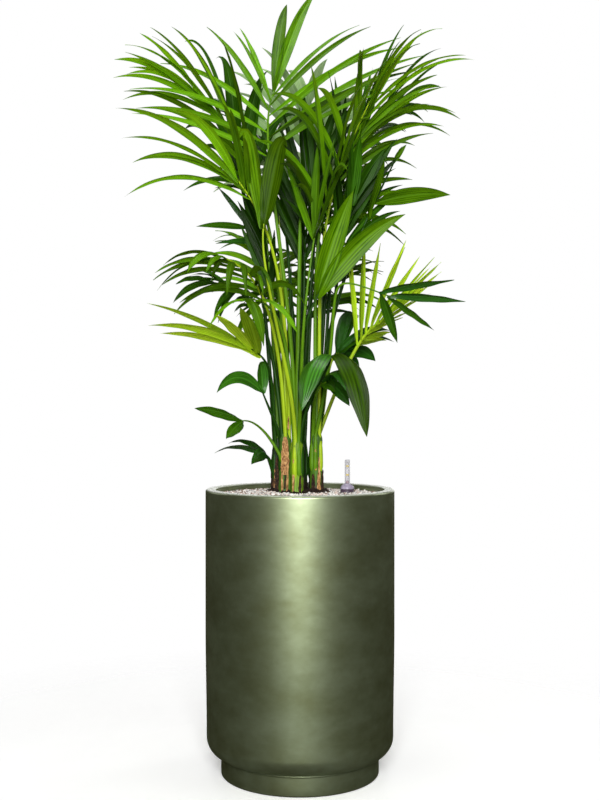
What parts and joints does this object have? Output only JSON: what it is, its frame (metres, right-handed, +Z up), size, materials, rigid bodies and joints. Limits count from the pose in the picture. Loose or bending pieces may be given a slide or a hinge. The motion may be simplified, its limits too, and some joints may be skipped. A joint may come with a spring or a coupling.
{
  "type": "potted kentia palm",
  "caption": "Clumping palm with arching feather fronds on slim green stalks, standing in a tall round straight-sided planter topped with gravel and a water gauge.",
  "frame": {"origin": "centre of the planter's flat underside", "axes": "+Z up, the plant grows along it; -Y is the side that faces the viewer"},
  "size_m": [0.7947, 0.7273, 1.7445],
  "materials": {
    "planter_lacquer": "satin metallic olive lacquer with a soft clouded tone",
    "peat": "matt, crumbly",
    "gravel": "matt pebbles",
    "stem_fibre": "matt, with brown fibre",
    "leaf_dark": "satin",
    "leaf_mid": "satin",
    "leaf_young": "satin",
    "leaf_lime": "satin",
    "leaf_pale": "matt",
    "gauge_cap": "satin",
    "gauge_clear": "clear",
    "gauge_red": "gloss"
  },
  "bodies": {
    "root": {"frond_back_centre": "leaf_pale", "frond_back_droop": "leaf_dark", "frond_back_left": "leaf_dark", "frond_back_low_left": "leaf_mid", "frond_back_low_right": "leaf_mid", "frond_back_right": "leaf_pale", "frond_centre_dark": "leaf_dark", "frond_centre_pair": "leaf_mid", "frond_crown_front": "leaf_mid", "frond_front_hang": "leaf_mid", "frond_front_low": "leaf_mid", "frond_front_pair": "leaf_young", "frond_left_back": "leaf_dark", "frond_left_droop": "leaf_mid", "frond_left_droop_back": "leaf_dark", "frond_left_front": "leaf_mid", "frond_left_high": "leaf_mid", "frond_left_low": "leaf_lime", "frond_left_mid": "leaf_dark", "frond_left_tall": "leaf_dark", "frond_mid_pair": "leaf_young", "frond_right_back": "leaf_dark", "frond_right_droop": "leaf_dark", "frond_right_fan": "leaf_mid", "frond_right_hang": "leaf_dark", "frond_right_high": "leaf_mid", "frond_right_lime": "leaf_lime", "frond_right_low": "leaf_dark", "frond_right_low_front": "leaf_dark", "frond_right_mid": "leaf_mid", "frond_right_tall": "leaf_dark", "frond_young_left": "leaf_dark", "frond_young_low": "leaf_dark", "frond_young_mid": "leaf_mid", "gauge_cap": "gauge_cap", "gauge_float": "gauge_red", "gauge_tube": "gauge_clear", "gravel_bed": "gravel", "growing_medium": "peat", "planter": "planter_lacquer", "root_ball": "peat", "stem_a": "stem_fibre", "stem_b": "stem_fibre", "stem_c": "stem_fibre", "stem_d": "stem_fibre", "stem_e": "stem_fibre", "stem_f": "stem_fibre"}
  },
  "joints": []
}
